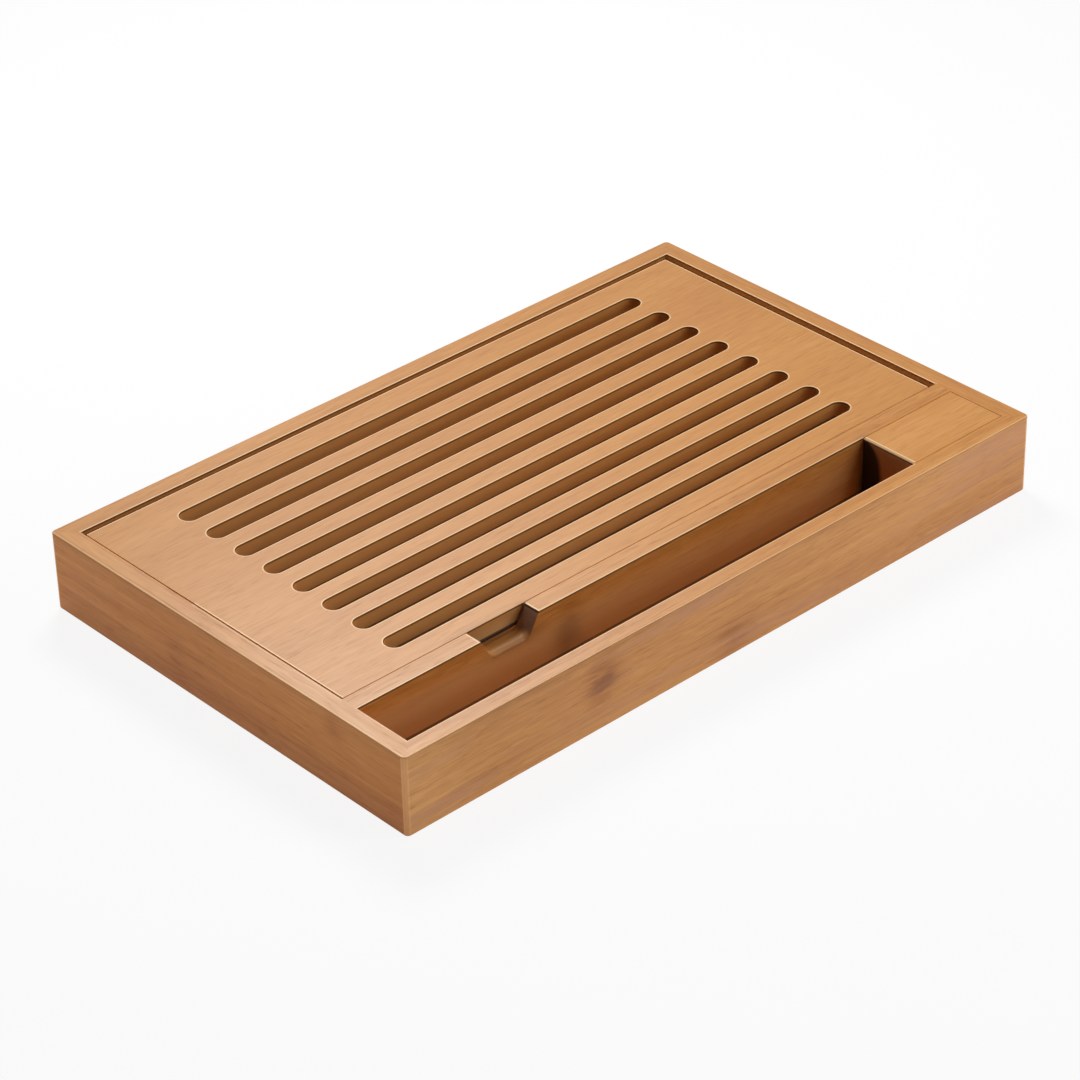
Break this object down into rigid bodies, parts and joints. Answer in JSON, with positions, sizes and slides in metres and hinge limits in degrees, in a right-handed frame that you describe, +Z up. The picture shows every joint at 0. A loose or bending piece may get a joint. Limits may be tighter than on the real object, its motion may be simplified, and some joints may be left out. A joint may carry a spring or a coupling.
{
  "type": "bread board with crumb catcher",
  "caption": "Rectangular bamboo bread board: a slotted cutting board lifts out of a mitred crumb tray with a knife trough and a finger notch along the front.",
  "frame": {"origin": "middle of the footprint on the table, at the underside of the rails", "axes": "+X along the long side, +Y from the knife trough in front to the back, +Z up"},
  "size_m": [0.4, 0.25, 0.042],
  "materials": {
    "board_bamboo": "oiled bamboo",
    "frame_bamboo": "oiled bamboo",
    "block_bamboo": "oiled bamboo",
    "panel_bamboo": "oiled bamboo",
    "ledge_bamboo": "oiled bamboo",
    "joinery_wood": "raw beech"
  },
  "bodies": {
    "tray": {"front_rail": "frame_bamboo", "back_rail": "frame_bamboo", "left_rail": "frame_bamboo", "right_rail": "frame_bamboo", "divider_rail": "frame_bamboo", "floor_panel": "panel_bamboo", "end_block": "block_bamboo", "left_ledge": "ledge_bamboo", "right_ledge": "ledge_bamboo", "back_ledge": "ledge_bamboo", "front_left_spline": "joinery_wood", "front_right_spline": "joinery_wood", "back_right_spline": "joinery_wood", "back_left_spline": "joinery_wood", "divider_dowels": "joinery_wood"},
    "grille": {"grille_board": "board_bamboo"}
  },
  "joints": [
    {"name": "grille_lift", "type": "slide", "parent": "tray", "child": "grille", "axis": [0, 0, 1], "range_m": [0, 0.06]}
  ]
}
